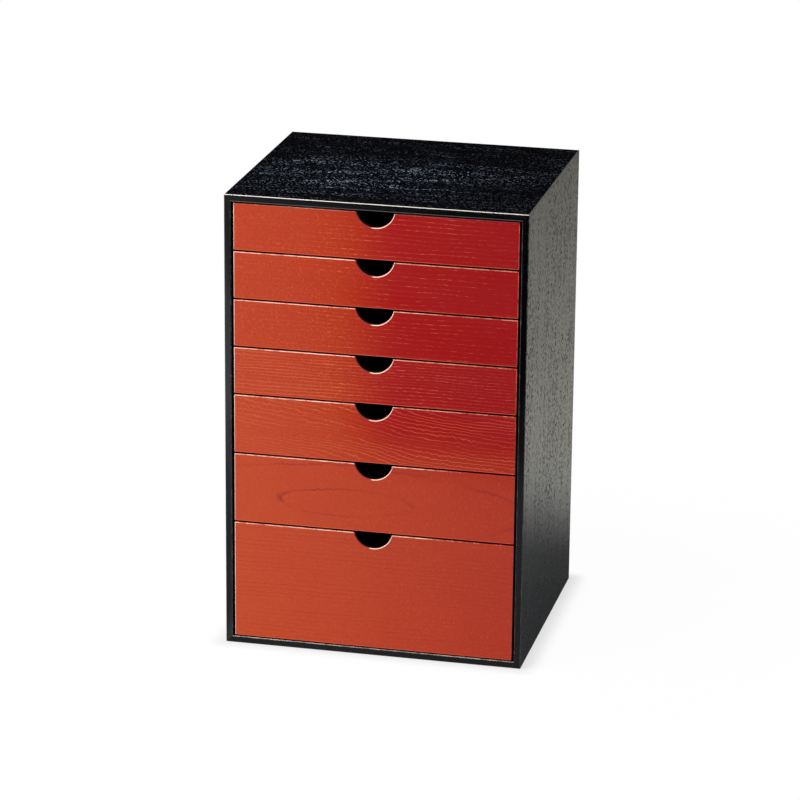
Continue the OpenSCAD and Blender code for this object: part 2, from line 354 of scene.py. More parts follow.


# ---- Red lacquer ------------------------------------------------------------

# Each front's grain: its shift along and across the board, how its pores are
# spread, how far its rings show a painted highlight at the left and right, how
# far they show dark, and how far it all fades to the right end. The upper fronts
# have rows of pores, the fourth and fifth have lines, and the sixth was cut near
# the pith.
USUAL_GRAIN = {
    "light": (0.0, 0.0),
    "dark": 0.0,
    "fade": 0.0,
    "relief": 0.06 * MM,
    "Ring_Spacing": 4.5 * MM,
    "Lean": 0.03,
    "Sway": 9 * MM,
    "Wave": 1.2 * MM,
    "Rowing": 0.27,
    "Pore_Length": 5 * MM,
    "Pore_Width": 0.9 * MM,
}
FRONT_GRAIN = {
    1: {"shift": (0.00, -0.745), "Spread": 0.79, "light": (0.08, 0.25), "fade": 0.6},
    2: {"shift": (0.90, -0.700), "Spread": 0.82, "light": (0.08, 0.12), "fade": 0.4},
    3: {"shift": (1.70, -0.640), "Spread": 0.80, "light": (0.08, 0.15), "fade": 0.7},
    4: {
        "shift": (2.60, -0.600),
        "Spread": 0.78,
        "light": (0.34, 0.2),
        "fade": 0.5,
        "relief": 0.15 * MM,
        "Ring_Spacing": 3.4 * MM,
        "Ring_Line": 0.5,
    },
    5: {
        "shift": (3.30, -0.570),
        "Spread": 0.80,
        "light": (0.32, 0.85),
        "relief": 0.15 * MM,
        "Pith": 896 * MM,
        "Lean": -0.08,
        "Ring_Spacing": 2.2 * MM,
        "Ring_Line": 0.35,
        "Sway": 26 * MM,
        "Wave": 2.6 * MM,
    },
    6: {
        "shift": (0.028, -0.160),
        "Spread": 0.74,
        "dark": 0.62,
        "Pith": 131.7 * MM,
        "Lean": 0.21,
        "Ring_Spacing": 13.5 * MM,
        "Ring_Growth": 0.68,
        "Ring_Line": 0.11,
        "Sway": 14 * MM,
        "Wave": 4.5 * MM,
    },
    7: {"shift": (5.16, -0.430), "Spread": 0.81, "dark": 0.3},
}

# The reds, and where one turns into the next: the warm orange at the left and low down is a
# painted sheen, and the crimson at the upper right is the red without it
WARM_LEFT, WARM_LEFT_LOW = (0.52, 0.046, 0.007, 1), (0.55, 0.062, 0.011, 1)
WARM_RIGHT, WARM_RIGHT_LOW = (0.42, 0.020, 0.006, 1), (0.45, 0.027, 0.006, 1)
CRIMSON_LEFT, CRIMSON_RIGHT = (0.44, 0.010, 0.008, 1), (0.35, 0.007, 0.009, 1)
CRIMSON_X, CRIMSON_Z = (-50 * MM, 30 * MM), (180 * MM, 250 * MM)
LEFT_TO_RIGHT_X = (-200 * MM, 200 * MM)
DOWNWARDS_Z = (400 * MM, 100 * MM)


def vermilion(finish):
    """The red of the fronts, with a painted warm sheen at the left and low down, and its share of
    crimson, where that sheen is missing.
    """
    x, z = finish.axis["X"], finish.axis["Z"]
    crimson_share = finish.times(finish.ramp(x, *CRIMSON_X), finish.ramp(z, *CRIMSON_Z))
    rightwards = finish.ramp(x, *LEFT_TO_RIGHT_X)
    downwards = finish.ramp(z, *DOWNWARDS_Z)
    left = finish.blend(downwards, WARM_LEFT, WARM_LEFT_LOW)
    right = finish.blend(downwards, WARM_RIGHT, WARM_RIGHT_LOW)
    warm = finish.blend(rightwards, left, right)
    crimson = finish.blend(rightwards, CRIMSON_LEFT, CRIMSON_RIGHT)
    return finish.blend(crimson_share, warm, crimson), crimson_share


# Specks in the red: their colours, the noise at which they show, and how
# strong they are on the lower and the upper fronts
SPECKS_PER_METRE = 620
LIGHT_SPECK, LIGHT_SPECK_STEP = (0.75, 0.15, 0.05, 1), (0.62, 0.72)
DARK_SPECK, DARK_SPECK_STEP = (0.30, 0.015, 0.008, 1), (0.42, 0.28)
SPECK_STRENGTH = (0.2, 0.3)


def speckle(finish, color, crimson_share, upper):
    """Specks the colour: dark all over, and light where it isn't crimson."""
    specks = finish.noise(finish.place, detail=1.0, scale=SPECKS_PER_METRE)
    amount = finish.between(upper, *SPECK_STRENGTH)
    on_warm = finish.math("SUBTRACT", amount, finish.times(amount, crimson_share))
    light = finish.times(finish.ramp(specks, *LIGHT_SPECK_STEP), on_warm)
    dark = finish.times(finish.ramp(specks, *DARK_SPECK_STEP), amount)
    color = finish.blend(light, color, LIGHT_SPECK)
    return finish.blend(dark, color, DARK_SPECK)


# The pores are short dashes in rows: dark ones, and from left to right on the
# upper fronts and in the crimson, light ones that are painted glints. The rings
# are lines: light ones are painted highlights, dark ones grain. Both show more in
# the wood's streaks.
UPPER_Z = (200 * MM, 270 * MM)
GLINT_DASH_X = (-80 * MM, -45 * MM)
FADE_X = (70 * MM, 120 * MM)
DARK_DASH, GLINT_DASH = (0.36, 0.025, 0.010, 1), (0.72, 0.16, 0.07, 1)
CRIMSON_GLINT_DASH = (0.60, 0.095, 0.05, 1)
DARK_LINE, HIGHLIGHT_LINE = (0.28, 0.015, 0.008, 1), (0.78, 0.20, 0.07, 1)
CRIMSON_HIGHLIGHT_LINE = (0.60, 0.085, 0.035, 1)
DASHES_BY_STREAK = (0.1, 0.8)
LINES_BY_STREAK = (0.2, 1.0)
RED_ROUGHNESS = (0.15, 0.21)
RED_REFLECTION = 0.27


def red_lacquer(number):
    """The red of one front, over its own grain."""
    finish = Finish(f"vermilion lacquer {number}")
    front = USUAL_GRAIN | FRONT_GRAIN[number]
    own = ("shift", "light", "dark", "fade", "relief")
    shift, light, dark, fade, relief = (front.pop(key) for key in own)
    wood = finish.grain("XZY", shift, **front)
    x, z = finish.axis["X"], finish.axis["Z"]
    upper = finish.ramp(z, *UPPER_Z)
    red, crimson_share = vermilion(finish)
    color = speckle(finish, red, crimson_share, upper)

    kept = finish.between(finish.ramp(x, *FADE_X), 1.0, 1.0 - fade)
    # Light dashes are painted glints in the pores
    on_glint = finish.times(finish.ramp(x, *GLINT_DASH_X), upper)
    dash = finish.blend(on_glint, DARK_DASH, GLINT_DASH)
    dash = finish.blend(crimson_share, dash, CRIMSON_GLINT_DASH)
    rows = finish.between(wood["Streaks"], *DASHES_BY_STREAK)
    color = finish.blend(finish.times(rows, kept, wood["Pores"]), color, dash)

    shown = finish.between(wood["Streaks"], *LINES_BY_STREAK)
    lines = finish.times(shown, kept, wood["Rings"])
    # Light ring lines are painted highlights; dark ones are grain
    line = finish.blend(crimson_share, HIGHLIGHT_LINE, CRIMSON_HIGHLIGHT_LINE)
    highlight_share = finish.between(crimson_share, *light)
    color = finish.blend(finish.times(lines, highlight_share), color, line)
    color = finish.blend(finish.times(lines, dark), color, DARK_LINE)

    finish.set("Specular IOR Level", RED_REFLECTION)
    rough = finish.between(wood["Cloud"], *RED_ROUGHNESS)
    return finish.wear(color, rough, wood["Height"], relief)


# Painted highlights on the red edges, broken up like wear, and a painted shade on
# the notch's left lip: their colours, where along the fronts that changes, and how
# strong each edge's highlight is, from 0 to 1
WARM_EDGE_HIGHLIGHT, CRIMSON_EDGE_HIGHLIGHT = (0.85, 0.45, 0.33, 1), (0.62, 0.25, 0.16, 1)
LEFT_END_HIGHLIGHT, RIGHT_END_HIGHLIGHT = (0.98, 0.66, 0.52, 1), (0.85, 0.09, 0.03, 1)
UNDER_EDGE_HIGHLIGHT = (0.95, 0.11, 0.035, 1)
NOTCH_HIGHLIGHT, NOTCH_SHADE = (0.95, 0.58, 0.44, 1), (0.24, 0.015, 0.010, 1)
LEFT_END_X, RIGHT_END_X = (-142.2 * MM, -142.6 * MM), (142.2 * MM, 142.6 * MM)
TOP_EDGE_Z = (458 * MM, 460 * MM)
DIMMER_HIGHLIGHT_X, DIMMER_HIGHLIGHT_Z = (50 * MM, 120 * MM), (300 * MM, 200 * MM)
NOTCH_LEFT_X = (-9 * MM, 0.0)
RED_EDGE_WEAR_AND_HIGHLIGHT = 0.65
LEFT_END_MORE, SHADED_TOP_EDGE_LESS, DIMMER_HIGHLIGHT_LESS = 0.3, 0.35, 0.32
UNDER_WEAR_AND_HIGHLIGHT, UNDER_ROUGHNESS = 0.9, 0.2
NOTCH_WEAR_AND_HIGHLIGHT, NOTCH_ROUGHNESS = 0.9, (0.2, 0.3)
RED_EDGE_ROUGHNESS = (0.12, 0.22)
RUB_DEPTH = 0.02 * MM


def red_arris():
    """Painted highlights over the edges, broken up like wear, brightest at the left ends of the
    fronts.

    They are weaker at the top of the first front, a painted shade under the top board, and at the
    lower right.
    """
    finish = Finish("vermilion lacquer edge")
    red, crimson_share = vermilion(finish)
    x, z = finish.axis["X"], finish.axis["Z"]
    left_end = finish.ramp(x, *LEFT_END_X)
    edge_highlight = finish.blend(crimson_share, WARM_EDGE_HIGHLIGHT, CRIMSON_EDGE_HIGHLIGHT)
    edge_highlight = finish.blend(left_end, edge_highlight, LEFT_END_HIGHLIGHT)
    edge_highlight = finish.blend(finish.ramp(x, *RIGHT_END_X), edge_highlight, RIGHT_END_HIGHLIGHT)
    top_edge = finish.ramp(z, *TOP_EDGE_Z)
    dimmer_highlight = finish.times(finish.ramp(x, *DIMMER_HIGHLIGHT_X), finish.ramp(z, *DIMMER_HIGHLIGHT_Z))
    amount = finish.math("MULTIPLY_ADD", top_edge, -SHADED_TOP_EDGE_LESS, RED_EDGE_WEAR_AND_HIGHLIGHT)
    amount = finish.math("MULTIPLY_ADD", dimmer_highlight, -DIMMER_HIGHLIGHT_LESS, amount)
    amount = finish.math("MULTIPLY_ADD", left_end, LEFT_END_MORE, amount)
    color, wear_and_highlight = finish.rub_and_highlight(amount, red, edge_highlight)
    rough = finish.between(wear_and_highlight, *RED_EDGE_ROUGHNESS)
    return finish.wear(color, rough, wear_and_highlight, -RUB_DEPTH)


def under_arris():
    """The lower edges, with a brighter red painted highlight broken up like wear."""
    finish = Finish("vermilion lacquer lower edge")
    red, _ = vermilion(finish)
    color, wear_and_highlight = finish.rub_and_highlight(UNDER_WEAR_AND_HIGHLIGHT, red, UNDER_EDGE_HIGHLIGHT)
    return finish.wear(color, UNDER_ROUGHNESS, wear_and_highlight, -RUB_DEPTH)


def notch_arris():
    """The notch's lip: painted shade at the left, and a painted highlight broken up like wear
    below and at the right.
    """
    finish = Finish("vermilion lacquer notch")
    red, _ = vermilion(finish)
    right = finish.ramp(finish.axis["X"], *NOTCH_LEFT_X)
    shaded = finish.blend(right, NOTCH_SHADE, red)
    color, wear_and_highlight = finish.rub_and_highlight(finish.times(right, NOTCH_WEAR_AND_HIGHLIGHT), shaded, NOTCH_HIGHLIGHT)
    rough = finish.between(wear_and_highlight, *NOTCH_ROUGHNESS)
    return finish.wear(color, rough, wear_and_highlight, -RUB_DEPTH)


# ---- Black lacquer, bare wood and steel -------------------------------------

# The boards' wood: the level ones have finer and fewer pores
LEVEL_WOOD = {
    "Pore_Length": 2.6 * MM,
    "Pore_Width": 1.2 * MM,
    "Wave": 1.8 * MM,
    "Spread": 0.63,
    "Rowing": 0.05,
}
UPRIGHT_WOOD = {
    "Pore_Length": 3.5 * MM,
    "Pore_Width": 1.9 * MM,
    "Wave": 2.5 * MM,
    "Spread": 0.53,
    "Rowing": 0.05,
}
BLACK = (0.002, 0.002, 0.003, 1)
# The top's blue flecks are painted glints; the grey flecks are paler pores
BLUE_GLINT, GREY_FLECK = (0.46, 0.58, 0.76, 1), (0.012, 0.013, 0.015, 1)
PORES_BY_STREAK = (0.2, 1.0)
OPEN_PORE = 0.1 * MM

# The patch of painted glints on the top: its four limits, and how much of its glints the rest
# keeps
PATCH_SLANT = (200 * MM, 50 * MM)
PATCH_LEFT_X = (-170 * MM, -90 * MM)
PATCH_BACK_Y, PATCH_FRONT_Y = (60 * MM, -20 * MM), (-145 * MM, -25 * MM)
GLINTS_OFF_PATCH = 0.12


def black_lacquer(name, axes, shift, fleck, roughness, glint_patch=False, **grain):
    """Black lacquer that leaves the pores of the wood open, matt and paler; on the top they are
    painted glints, mostly in a painted patch.
    """
    finish = Finish(name)
    wood = finish.grain(axes, shift, **grain)
    pores = finish.times(wood["Pores"], finish.between(wood["Streaks"], *PORES_BY_STREAK))
    pale = pores
    if glint_patch:
        x, y = finish.axis["X"], finish.axis["Y"]
        patch = finish.times(
            finish.ramp(finish.math("SUBTRACT", x, y), *PATCH_SLANT),
            finish.ramp(x, *PATCH_LEFT_X),
            finish.ramp(y, *PATCH_BACK_Y),
            finish.ramp(y, *PATCH_FRONT_Y),
        )
        pale = finish.times(pores, finish.between(patch, GLINTS_OFF_PATCH, 1.0))
    color = finish.blend(pale, BLACK, fleck)
    return finish.wear(color, finish.between(pores, *roughness), wood["Height"], OPEN_PORE)


BAND_BLACK = (0.001, 0.001, 0.0015, 1)
BAND_ROUGHNESS = (0.16, 0.26)
BAND_PORE = 0.02 * MM
DULL_REFLECTION = 0.2


def black_band(name, axes, tone):
    """The same lacquer where it fills the pores, on the front edges."""
    finish = Finish(name)
    wood = finish.grain(axes, Pore_Width=0.5 * MM)
    color = finish.blend(wood["Cloud"], BAND_BLACK, tone)
    rough = finish.between(wood["Pores"], *BAND_ROUGHNESS)
    finish.set("Specular IOR Level", DULL_REFLECTION)
    return finish.wear(color, rough, wood["Height"], BAND_PORE)


EDGE_BLACK = (0.006, 0.006, 0.007, 1)
# Painted highlights on the black edges: grey, cream on the top's front edge, and brown on the
# bottom's inner edge
GREY_EDGE_HIGHLIGHT, CREAM_EDGE_HIGHLIGHT = (0.11, 0.11, 0.11, 1), (0.75, 0.68, 0.6, 1)
BROWN_EDGE_HIGHLIGHT = (0.3, 0.27, 0.24, 1)
BLACK_WEAR_AND_HIGHLIGHT, TOP_WEAR_AND_HIGHLIGHT, INNER_MORE = 0.45, 0.9, 0.15
BLACK_EDGE_ROUGHNESS = (0.25, 0.4)
BLACK_RUB_DEPTH = 0.03 * MM

# Where a board's edge is the front one, the top one, or at the inside below
FRONT_EDGE_Y = (-131 * MM, -131.7 * MM)
UPPER_EDGE_Z = (466 * MM, 468 * MM)
INNER_EDGE_Z = (5.5 * MM, 6 * MM)
CREST = FRONT_Y - HEIGHT  # y - z at the sharp corner that the rounding took off
CREST_STEP = (CREST + 0.8 * MM, CREST + 0.6 * MM)


def black_arris(name, amount, edge_highlight, front_highlight, inner_highlight=None):
    """Edges of a board with wear and painted highlights, all but the upper front one all over.

    That one has them at its crest alone, with another painted highlight colour there.
    """
    finish = Finish(name)
    y, z = finish.axis["Y"], finish.axis["Z"]
    if inner_highlight:
        inner = finish.ramp(z, *INNER_EDGE_Z)
        edge_highlight = finish.blend(inner, edge_highlight, inner_highlight)
        amount = finish.between(inner, amount, amount + INNER_MORE)
    upper_front = finish.times(finish.ramp(y, *FRONT_EDGE_Y), finish.ramp(z, *UPPER_EDGE_Z))
    crest = finish.ramp(finish.math("SUBTRACT", y, z), *CREST_STEP)
    dimmer_highlight = finish.math("SUBTRACT", crest, 1.0)
    wear_and_highlight_share = finish.math("MULTIPLY_ADD", dimmer_highlight, upper_front, 1.0)
    edge_highlight = finish.blend(upper_front, edge_highlight, front_highlight)
    color, wear_and_highlight = finish.rub_and_highlight(finish.times(wear_and_highlight_share, amount), EDGE_BLACK, edge_highlight)
    rough = finish.between(wear_and_highlight, *BLACK_EDGE_ROUGHNESS)
    return finish.wear(color, rough, wear_and_highlight, -BLACK_RUB_DEPTH)


BOX_ROUGHNESS = (0.45, 0.6)
BOX_PORE = 0.04 * MM
BOX_PORE_SHARE = 0.4  # of its figure; the rest is streaks


def box_black(name, axes, tone=(0.014, 0.013, 0.012, 1), dark=(0.006, 0.006, 0.006, 1)):
    """Flat black lacquer of the drawer boxes and the back panel."""
    finish = Finish(name)
    wood = finish.grain(axes, Pore_Width=0.9 * MM, Spread=0.6)
    streaks = finish.times(wood["Streaks"], 1 - BOX_PORE_SHARE)
    figure = finish.math("MULTIPLY_ADD", wood["Pores"], BOX_PORE_SHARE, streaks)
    color = finish.blend(figure, dark, tone)
    rough = finish.between(wood["Pores"], *BOX_ROUGHNESS)
    finish.set("Specular IOR Level", DULL_REFLECTION)
    return finish.wear(color, rough, wood["Height"], BOX_PORE)


WOOD_ROUGHNESS = (0.45, 0.6)
WOOD_PORE = 0.03 * MM


def bare_wood(name, axes, early, late):
    """Wood with its rings showing, of an early and a late colour."""
    finish = Finish(name)
    wood = finish.grain(axes, Ring_Spacing=3 * MM, Pore_Width=0.4 * MM, Pore_Length=4 * MM)
    color = finish.blend(wood["Rings"], late, early)
    rough = finish.between(wood["Pores"], *WOOD_ROUGHNESS)
    return finish.wear(color, rough, wood["Height"], WOOD_PORE)


DARK_STEEL, BRIGHT_STEEL = (0.32, 0.31, 0.30, 1), (0.58, 0.57, 0.56, 1)
STEEL_ROUGHNESS = (0.25, 0.55)
STEEL_RELIEF = 0.02 * MM
TARNISH_PER_METRE = 900


def brad_steel():
    """Plain steel, a little tarnished."""
    finish = Finish("plain steel")
    finish.set("Metallic", 1.0)
    tarnish = finish.noise(finish.place, detail=3.0, scale=TARNISH_PER_METRE)
    color = finish.blend(tarnish, DARK_STEEL, BRIGHT_STEEL)
    rough = finish.between(tarnish, *STEEL_ROUGHNESS)
    return finish.wear(color, rough, tarnish, STEEL_RELIEF)


# ---- Modelling --------------------------------------------------------------


def hold(piece):
    """Makes a piece the active one and the only one selected."""
    bpy.ops.object.select_all(action="DESELECT")
    piece.select_set(True)
    bpy.context.view_layer.objects.active = piece


def block(name, low, high):
    """A box between its lowest and highest corners."""
    low, high = Vector(low), Vector(high)
    bpy.ops.object.select_all(action="DESELECT")
    bpy.ops.mesh.primitive_cube_add(size=1, location=(low + high) / 2, scale=high - low)
    bpy.ops.object.transform_apply()
    piece = bpy.context.object
    piece.name = piece.data.name = name
    return piece


def dowel(name, radius, start, end, sides):
    """A cylinder between two points."""
    start, end = Vector(start), Vector(end)
    bpy.ops.object.select_all(action="DESELECT")
    bpy.ops.mesh.primitive_cylinder_add(
        radius=radius,
        depth=(end - start).length,
        vertices=sides,
        location=(start + end) / 2,
        rotation=(end - start).to_track_quat("Z", "Y").to_euler(),
    )
    bpy.ops.object.transform_apply()
    piece = bpy.context.object
    piece.name = name
    return piece


def node_copy(node):
    """A loose copy of a CAD node, its faces joined up."""
    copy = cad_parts[node].copy()
    copy.data = copy.data.copy()
    copy.parent = None
    bpy.context.scene.collection.objects.link(copy)
    hold(copy)
    bpy.ops.object.mode_set(mode="EDIT")
    bpy.ops.mesh.select_all(action="SELECT")
    bpy.ops.mesh.remove_doubles(threshold=WELD)
    bpy.ops.object.mode_set(mode="OBJECT")
    return copy


def cut(piece, *cutters):
    """Cuts pieces away; the new faces get the piece's first material."""
    for cutter in cutters:
        for face in cutter.data.polygons:
            face.material_index = 0
        hold(piece)
        knife = piece.modifiers.new("cut", "BOOLEAN")
        knife.solver = "EXACT"
        knife.object = cutter
        bpy.ops.object.modifier_apply(modifier=knife.name)
        bpy.data.objects.remove(cutter)


def round_edges(piece, wanted, radius, slot, segments=4, clamp=True):
    """Rounds the edges whose two ends pass a test, in the material of a slot."""
    hold(piece)
    bpy.ops.object.mode_set(mode="EDIT")
    bpy.ops.mesh.select_mode(type="EDGE")
    bpy.ops.mesh.select_all(action="DESELECT")
    bpy.ops.object.mode_set(mode="OBJECT")
    points = piece.data.vertices
    for edge in piece.data.edges:
        edge.select = wanted(*(points[i].co for i in edge.vertices))
    bpy.ops.object.mode_set(mode="EDIT")
    bpy.ops.mesh.bevel(
        offset=radius, segments=segments, affect="EDGES", material=slot, clamp_overlap=clamp
    )
    bpy.ops.object.mode_set(mode="OBJECT")


def finish_piece(piece, body, node):
    """Smooths a piece's roundings and puts it in place of a CAD node."""
    hold(piece)
    bpy.ops.object.shade_smooth_by_angle(angle=SMOOTH_BELOW)
    even = piece.modifiers.new("even shading", "WEIGHTED_NORMAL")
    even.keep_sharp = True
    bpy.ops.object.modifier_apply(modifier=even.name)
    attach(piece, body)
    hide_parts(node)


def near(a, b):
    """Whether two distances are the same, but for rounding."""
    return abs(a - b) < SAME


def model_board(node, length, turn, place, finishes, lets_in):
    """A mitred board, rounded at its front and outer corners and rebated behind.

    It is made lying on its inner face, with its outer face up at z = 0, and is
    then turned so many degrees about Y and moved to its place. It has a finish
    for its face, its edges and its front, and lets in some of the CAD's pieces.
    """
    half = length / 2
    piece = block(node.replace("_panel", "_board"), (-half, FRONT_Y, -BOARD), (half, -FRONT_Y, 0))
    for material in finishes:
        piece.data.materials.append(material)
    for face in piece.data.polygons:
        if near(face.center.y, FRONT_Y):
            face.material_index = BOARD_BAND

    def long_or_outer(a, b):
        along_front = near(a.y, FRONT_Y) and near(b.y, FRONT_Y) and near(a.z, b.z)
        along_back = near(a.y, -FRONT_Y) and near(b.y, -FRONT_Y) and near(a.z + b.z, 0)
        along_end = near(a.x, b.x) and near(a.z + b.z, 0)
        return along_front or along_back or along_end

    round_edges(piece, long_or_outer, ARRIS, BOARD_EDGE)
    for side in (-1, 1):
        bpy.ops.object.mode_set(mode="EDIT")
        bpy.ops.mesh.select_all(action="SELECT")
        bpy.ops.mesh.bisect(
            plane_co=(side * half, 0, 0), plane_no=(side, 0, -1), use_fill=True, clear_outer=True
        )
        bpy.ops.object.mode_set(mode="OBJECT")
    rebate_low = (-half, SHOULDER_Y, -BOARD - PAST)
    rebate_high = (half, DEPTH, BACK_LAP - BOARD)
    cut(piece, block("rebate", rebate_low, rebate_high))
    piece.rotation_euler = (0, math.radians(turn), 0)
    piece.location = place
    hold(piece)
    bpy.ops.object.transform_apply()
    cut(piece, *(node_copy(name) for name in lets_in))
    finish_piece(piece, "carcass", node)


def model_carcass():
    """The four boards, each with its face, its edges with wear and painted highlights, and its
    front band.
    """
    edge = black_arris("black lacquer edge", BLACK_WEAR_AND_HIGHLIGHT, GREY_EDGE_HIGHLIGHT, GREY_EDGE_HIGHLIGHT)
    top_edge = black_arris("black lacquer top edge", TOP_WEAR_AND_HIGHLIGHT, GREY_EDGE_HIGHLIGHT, CREAM_EDGE_HIGHLIGHT)
    bottom_edge = black_arris(
        "black lacquer bottom edge", BLACK_WEAR_AND_HIGHLIGHT, GREY_EDGE_HIGHLIGHT, GREY_EDGE_HIGHLIGHT, BROWN_EDGE_HIGHLIGHT
    )
    level_band = black_band("black band, level", "XZY", (0.004, 0.004, 0.005, 1))
    right_band = black_band("black band, right", "ZXY", (0.003, 0.003, 0.004, 1))
    # The left front edge's lighter tone is a painted sheen
    left_band_with_painted_sheen = black_band("black band, left", "ZXY", (0.03, 0.032, 0.032, 1))
    top = black_lacquer(
        "black lacquer, top",
        "XYZ",
        shift=(0.0, -0.05),
        fleck=BLUE_GLINT,
        roughness=(0.14, 0.34),
        glint_patch=True,
        **LEVEL_WOOD,
    )
    bottom = black_lacquer(
        "black lacquer, bottom",
        "XYZ",
        shift=(0.5, 0.03),
        fleck=GREY_FLECK,
        roughness=(0.19, 0.59),
        **LEVEL_WOOD,
    )
    left = black_lacquer(
        "black lacquer, left side",
        "ZYX",
        shift=(0.3, 0.06),
        fleck=GREY_FLECK,
        roughness=(0.19, 0.64),
        **UPRIGHT_WOOD,
    )
    right = black_lacquer(
        "black lacquer, right side",
        "ZYX",
        shift=(1.3, -0.1),
        fleck=GREY_FLECK,
        roughness=(0.19, 0.81),
        **UPRIGHT_WOOD,
    )

    fixed = ("mitre_splines", "back_panel_brads")
    housed = fixed + ("runner_brads",) + tuple(f"runners_{number}" for number in DRAWERS)
    model_board(
        "top_panel",
        WIDTH,
        turn=0,
        place=(0, 0, HEIGHT),
        finishes=(top, top_edge, level_band),
        lets_in=fixed,
    )
    model_board(
        "bottom_panel",
        WIDTH,
        turn=180,
        place=(0, 0, 0),
        finishes=(bottom, bottom_edge, level_band),
        lets_in=fixed,
    )
    model_board(
        "left_side_panel",
        HEIGHT,
        turn=-90,
        place=(-WIDTH / 2, 0, HEIGHT / 2),
        finishes=(left, edge, left_band_with_painted_sheen),
        lets_in=housed,
    )
    model_board(
        "right_side_panel",
        HEIGHT,
        turn=90,
        place=(WIDTH / 2, 0, HEIGHT / 2),
        finishes=(right, edge, right_band),
        lets_in=housed,
    )


# The finishes that all the drawer fronts share
INNER_BLACK = box_black("black lacquer inside", "XZY")
RED_EDGE = red_arris()
NOTCH_EDGE = notch_arris()
UNDER_EDGE = under_arris()
# The faces in the gaps and in the notch are a darker black than the inside: painted shade
GAP_SHADE_BLACK = box_black(
    "black lacquer in the gaps", "XZY", (0.003, 0.003, 0.003, 1), (0.001, 0.001, 0.001, 1)
)


def cut_notch(piece, low, high):
    """The round finger notch in a front's upper edge, with rounded corners."""
    radius = (NOTCH_WIDTH**2 / 4 + NOTCH_DEPTH**2) / (2 * NOTCH_DEPTH)
    centre_z = high.z + radius - NOTCH_DEPTH
    start, end = (0, low.y - PAST, centre_z), (0, high.y + PAST, centre_z)
    cut(piece, dowel("notch", radius, start, end, NOTCH_SIDES))

    def notch_corner(a, b):
        at_top = near(a.z, high.z) and near(b.z, high.z)
        return at_top and near(a.x, b.x) and abs(a.x) < high.x - PAST

    round_edges(piece, notch_corner, NOTCH_CORNER, INSIDE, segments=6)


def round_face(piece, low, high):
    """Rounds the red face all round, and sorts the edges' faces by material."""
    for face in piece.data.polygons:
        if near(face.center.y, low.y):
            face.material_index = FACE
    round_edges(
        piece, lambda a, b: near(a.y, low.y) and near(b.y, low.y), ARRIS, EDGE, clamp=False
    )
    for face in piece.data.polygons:
        in_notch = abs(face.center.x) < NOTCH_WIDTH / 2 + NOTCH_CORNER
        below = face.center.z < low.z + ARRIS and abs(face.center.x) < high.x - ARRIS
        if face.material_index == EDGE and below:
            face.material_index = UNDER
        elif face.material_index == EDGE and in_notch:
            face.material_index = NOTCH
        elif face.material_index == INSIDE and near(face.normal.y, 0):
            face.material_index = GAP


def cut_joints(piece, low, high):
    """The groove for the drawer's bottom and the rebates for its sides."""
    side_top, side_bottom = high.z - SIDE_DROP, low.z + SIDE_RISE
    side_front = high.y - FRONT_REBATE
    groove_z = side_bottom + BOTTOM_RISE
    groove_x = SIDE_INNER_X + BOTTOM_GROOVE
    groove_low = (-groove_x, high.y - BOTTOM_GROOVE, groove_z)
    groove_high = (groove_x, high.y + PAST, groove_z + BOTTOM + BOTTOM_PLAY)
    cut(piece, block("bottom groove", groove_low, groove_high))
    for side in (-1, 1):
        left, right = sorted((side * SIDE_INNER_X, side * (high.x + PAST)))
        rebate_low, rebate_high = (left, side_front, side_bottom), (right, high.y + PAST, side_top)
        cut(piece, block("rebate", rebate_low, rebate_high))


def model_front(number):
    """A drawer front: notched, rounded round its face, rebated for the sides."""
    node = f"drawer_{number}_front"
    low, high = (Vector(corner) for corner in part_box(node))
    piece = block(f"drawer_{number}_red_front", low, high)
    face = red_lacquer(number)
    for material in (INNER_BLACK, face, RED_EDGE, NOTCH_EDGE, UNDER_EDGE, GAP_SHADE_BLACK):
        piece.data.materials.append(material)
    cut_notch(piece, low, high)
    round_face(piece, low, high)
    cut_joints(piece, low, high)
    cut(piece, node_copy(f"drawer_{number}_pegs"))
    finish_piece(piece, f"drawer_{number}", node)


# ---- Dressing the CAD pieces ------------------------------------------------


def paint(node, material):
    """Gives a CAD node another material, its shape left as it is."""
    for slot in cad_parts[node].material_slots:
        slot.material = material


def dress_carcass():
    """The back panel, the splines, the runners and the brads."""
    paint("back_panel", box_black("black plywood", "ZXY", (0.035, 0.033, 0.032, 1)))
    paint("mitre_splines", bare_wood("birch", "YXZ", (0.45, 0.3, 0.17, 1), (0.6, 0.44, 0.28, 1)))
    runner = bare_wood("stained runner", "YZX", (0.05, 0.03, 0.02, 1), (0.1, 0.065, 0.042, 1))
    for number in DRAWERS:
        paint(f"runners_{number}", runner)
    steel = brad_steel()
    paint("runner_brads", steel)
    paint("back_panel_brads", steel)


def dress_drawers():
    """What is behind each front: the box and its pegs."""
    side = box_black("black drawer side", "YZX")
    bottom = box_black("black drawer bottom", "XYZ")
    peg = bare_wood("black peg", "XYZ", (0.02, 0.014, 0.01, 1), (0.035, 0.025, 0.018, 1))
    for number in DRAWERS:
        paint(f"drawer_{number}_left_side", side)
        paint(f"drawer_{number}_right_side", side)
        paint(f"drawer_{number}_back", INNER_BLACK)
        paint(f"drawer_{number}_bottom", bottom)
        paint(f"drawer_{number}_pegs", peg)


# ---- Studio -----------------------------------------------------------------

AIM = Vector((0, 0, 240 * MM))

# The photograph's camera, solved from the corners of the chest: how many
# degrees it is turned round the chest, tipped down and rolled, its place, and
# its film and lens in millimetres
CAMERA_ANGLES = (12.90, 17.96, 0.54)
CAMERA_PLACE = (0.8044, -3.5289, 1.4022)
FILM_WIDTH, LENS = 36, 167.36
FARTHEST = 50

# The page's light for rays that aren't seen, in a picture or a reflection
PAGE_GLOW = 0.13
WHITE = (1, 1, 1, 1)

